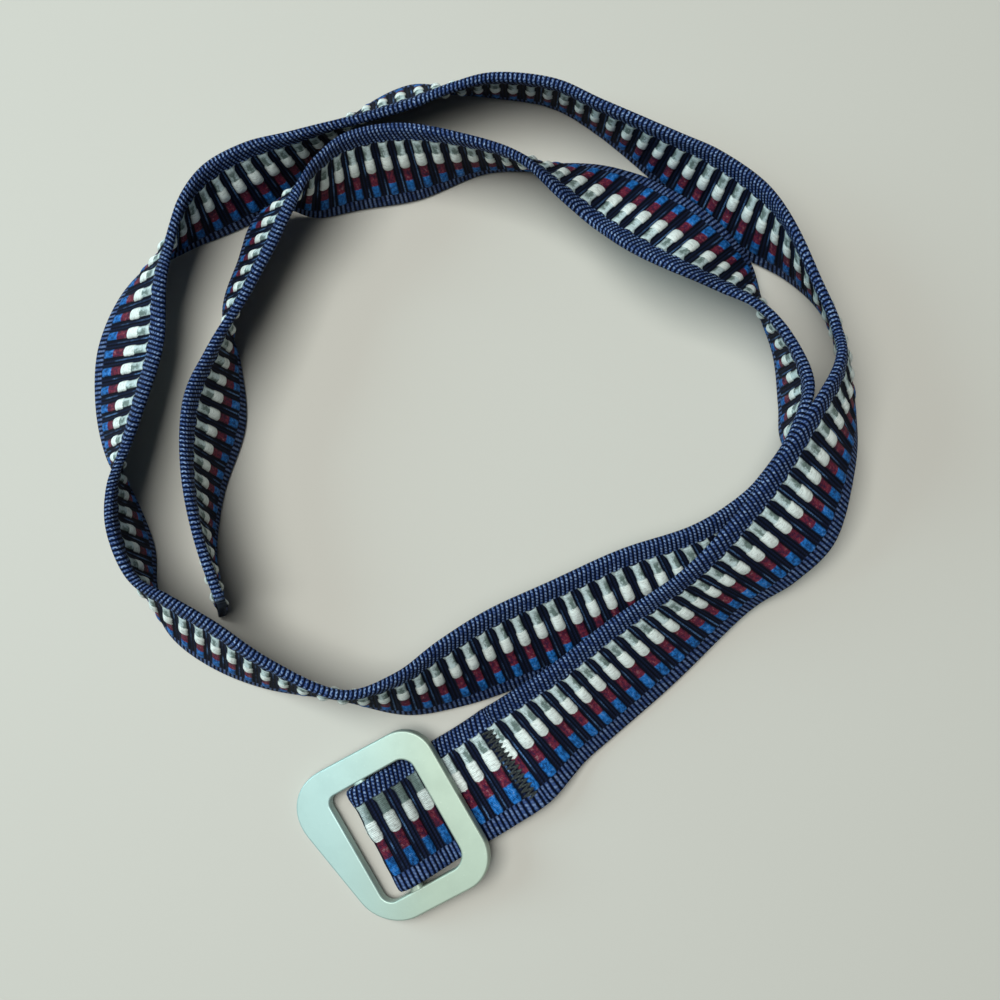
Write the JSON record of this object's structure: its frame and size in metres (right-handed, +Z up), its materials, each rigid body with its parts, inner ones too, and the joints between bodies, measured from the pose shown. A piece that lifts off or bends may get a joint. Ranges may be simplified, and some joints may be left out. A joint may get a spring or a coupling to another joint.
{
  "type": "woven canvas belt",
  "caption": "Striped ribbed canvas belt lying in a loose coil, its strap sewn round the crossbar of a flat frame buckle.",
  "frame": {"origin": "on the floor, under the middle of the belt's bounding box", "axes": "+Z up, +Y along the buckle's slot and crossbar, +X from the buckle's left bar to its right bar, the way the strap leaves it"},
  "size_m": [0.2018, 0.2026, 0.0366],
  "materials": {
    "strap": "ribbed woven webbing, navy selvedges, bars of grey-green, white, dark red and blue",
    "buckle": "satin, soft edges"
  },
  "bodies": {
    "root": {"strap": "strap", "buckle": "buckle"}
  },
  "joints": []
}
